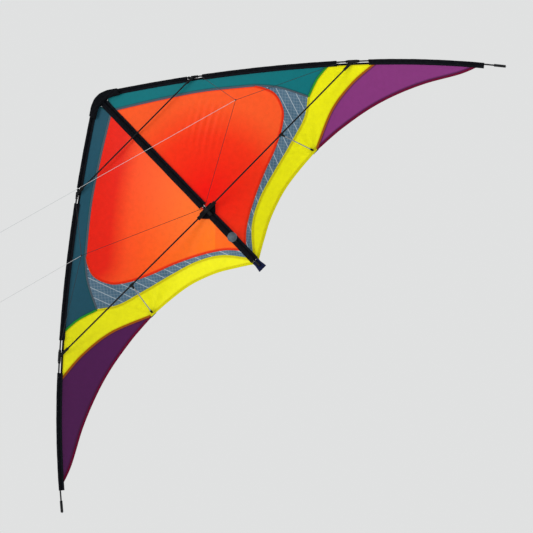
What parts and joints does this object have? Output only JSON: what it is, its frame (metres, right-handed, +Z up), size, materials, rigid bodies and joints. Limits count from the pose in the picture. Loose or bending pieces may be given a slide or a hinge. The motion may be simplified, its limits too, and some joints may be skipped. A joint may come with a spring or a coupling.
{
  "type": "delta kite",
  "caption": "Two-line delta sport kite in billowed flying shape: panelled sail, tube frame in sleeves, spreaders, standoffs, bridle and flying lines.",
  "frame": {"origin": "on the spine tube's axis at the centre fitting, where the lower spreaders meet it", "axes": "+Z up the spine to the nose; -Y forward, to the flyer and the bridle side; +X along the wing on the flyer's right"},
  "size_m": [2.401, 2.2027, 1.0593],
  "materials": {
    "carbon_tube": "satin pultruded carbon fibre",
    "glass_rod": "satin pultruded glass fibre",
    "aluminium_ferrule": "turned",
    "black_tape": "woven polyester sleeve tape",
    "black_fitting": "moulded nylon",
    "rubber_stop": "matt vinyl",
    "grey_disc": "satin",
    "navy_webbing": "woven webbing",
    "sail_teal": "ripstop polyester",
    "sail_orange": "ripstop polyester",
    "sail_scrim": "laminated film with yarn grid",
    "sail_yellow": "ripstop polyester",
    "sail_purple": "ripstop polyester",
    "bridle_line": "braided polyester line",
    "flying_line": "braided high-strength line"
  },
  "bodies": {
    "spine": {"spine_rod": "carbon_tube", "spine_sleeve": "black_tape", "spine_caps": "black_fitting", "centre_t": "black_fitting", "centre_patch": "black_tape", "spine_stops": "rubber_stop", "bridle_collar": "bridle_line", "spine_disc": "grey_disc", "tail_tab": "navy_webbing"},
    "upper_spreader": {"upper_spreader": "carbon_tube"},
    "wing_left": {"le_rod_inner_left": "carbon_tube", "le_rod_outer_left": "carbon_tube", "le_ferrule_left": "aluminium_ferrule", "le_sleeve_inner_left": "black_tape", "le_sleeve_mid_left": "black_tape", "le_sleeve_outer_left": "black_tape", "upper_connector_left": "black_fitting", "le_stops_left": "rubber_stop", "nose_cover_left": "black_tape", "sail_inner_edge_left": "sail_teal", "sail_main_left": "sail_orange", "sail_scrim_left": "sail_scrim", "sail_band_left": "sail_yellow", "sail_tip_left": "sail_purple", "standoff_pocket_left": "navy_webbing", "wingtip_nock_left": "black_fitting", "tension_line_left": "bridle_line", "bridle_outer_left": "bridle_line", "bridle_inhaul_left": "bridle_line", "line_knots_left": "bridle_line", "flying_line_left": "flying_line"},
    "lower_spreader_left": {"lower_spreader_left": "carbon_tube", "lower_connector_left": "black_fitting"},
    "standoff_left": {"standoff_left": "glass_rod", "standoff_clip_left": "black_fitting"},
    "wing_right": {"le_rod_inner_right": "carbon_tube", "le_rod_outer_right": "carbon_tube", "le_ferrule_right": "aluminium_ferrule", "le_sleeve_inner_right": "black_tape", "le_sleeve_mid_right": "black_tape", "le_sleeve_outer_right": "black_tape", "upper_connector_right": "black_fitting", "le_stops_right": "rubber_stop", "nose_cover_right": "black_tape", "sail_inner_edge_right": "sail_teal", "sail_main_right": "sail_orange", "sail_scrim_right": "sail_scrim", "sail_band_right": "sail_yellow", "sail_tip_right": "sail_purple", "standoff_pocket_right": "navy_webbing", "wingtip_nock_right": "black_fitting", "tension_line_right": "bridle_line", "bridle_outer_right": "bridle_line", "bridle_inhaul_right": "bridle_line", "line_knots_right": "bridle_line", "flying_line_right": "flying_line"},
    "lower_spreader_right": {"lower_spreader_right": "carbon_tube", "lower_connector_right": "black_fitting"},
    "standoff_right": {"standoff_right": "glass_rod", "standoff_clip_right": "black_fitting"}
  },
  "joints": [
    {"name": "wing_right_fold", "type": "hinge", "parent": "spine", "child": "wing_right", "pos_m": [0, 0, 0], "axis": [0, 0, 1], "range_deg": [0, 80], "deforming": ["sail_inner_edge_right", "sail_main_right", "sail_scrim_right", "sail_band_right", "sail_tip_right", "nose_cover_right", "standoff_pocket_right"]},
    {"name": "wing_left_fold", "type": "hinge", "parent": "spine", "child": "wing_left", "pos_m": [0, 0, 0], "axis": [0, 0, -1], "range_deg": [0, 80], "deforming": ["sail_inner_edge_left", "sail_main_left", "sail_scrim_left", "sail_band_left", "sail_tip_left", "nose_cover_left", "standoff_pocket_left"]},
    {"name": "lower_spreader_right_swing", "type": "hinge", "parent": "wing_right", "child": "lower_spreader_right", "pos_m": [0.79344, 0, 0.00814], "axis": [-0.7335, 0, 0.6797], "range_deg": [0, 9.6]},
    {"name": "standoff_right_swing", "type": "hinge", "parent": "lower_spreader_right", "child": "standoff_right", "pos_m": [0.40438, -0.00515, 0.00415], "axis": [-0.9999, -0.0132, -0.0103], "range_deg": [0, 59.2]},
    {"name": "lower_spreader_left_swing", "type": "hinge", "parent": "wing_left", "child": "lower_spreader_left", "pos_m": [-0.79344, 0, 0.00814], "axis": [-0.7335, 0, -0.6797], "range_deg": [0, 9.6]},
    {"name": "standoff_left_swing", "type": "hinge", "parent": "lower_spreader_left", "child": "standoff_left", "pos_m": [-0.40438, -0.00515, 0.00415], "axis": [-0.9999, 0.0132, 0.0103], "range_deg": [0, 59.2]},
    {"name": "upper_spreader_swivel", "type": "hinge", "parent": "spine", "child": "upper_spreader", "pos_m": [0, -0.01085, 0.40813], "axis": [0, -1, 0], "range_deg": [0, 88]}
  ],
  "couplings": [
    {"joint": "lower_spreader_right_swing", "follows": "wing_right_fold", "ratio": 0.12},
    {"joint": "standoff_right_swing", "follows": "wing_right_fold", "ratio": 0.74},
    {"joint": "lower_spreader_left_swing", "follows": "wing_left_fold", "ratio": 0.12},
    {"joint": "standoff_left_swing", "follows": "wing_left_fold", "ratio": 0.74},
    {"joint": "upper_spreader_swivel", "follows": "wing_left_fold", "ratio": 1.1}
  ]
}
